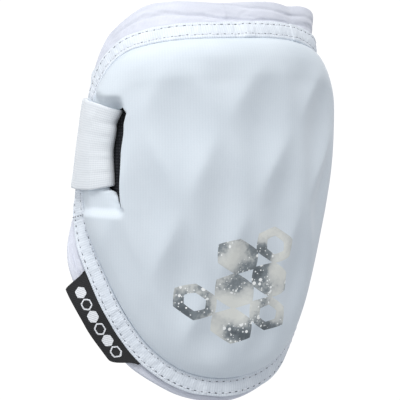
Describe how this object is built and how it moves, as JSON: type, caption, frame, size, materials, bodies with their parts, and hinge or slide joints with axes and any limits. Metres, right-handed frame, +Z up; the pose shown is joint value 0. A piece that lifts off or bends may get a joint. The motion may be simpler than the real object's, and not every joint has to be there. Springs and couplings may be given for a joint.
{
  "type": "elbow guard",
  "caption": "Moulded foam elbow guard with a dimpled front pad, a soft raised collar, a flat sewn edge tape and an elastic strap that closes round the arm",
  "frame": {"origin": "on the arm's axis, about 7 mm below the middle of the guard's height", "axes": "+Z up along the arm towards the shoulder, the pad's face towards -Y, +X to the right seen from in front of the pad"},
  "size_m": [0.1193, 0.1103, 0.1688],
  "materials": {
    "white_knit": "fine vertical rib knit, satin white",
    "black_lining": "matt black cloth",
    "white_padding": "smooth soft white cloth over padding",
    "white_tape": "woven tape with fine cross ribs",
    "white_elastic": "ribbed woven elastic",
    "black_label": "tight woven satin label"
  },
  "bodies": {
    "root": {"pad": "white_knit", "lining": "black_lining", "liner_rim": "white_padding", "edge_tape": "white_tape", "strap": "white_elastic", "label_tab": "black_label"}
  },
  "joints": []
}
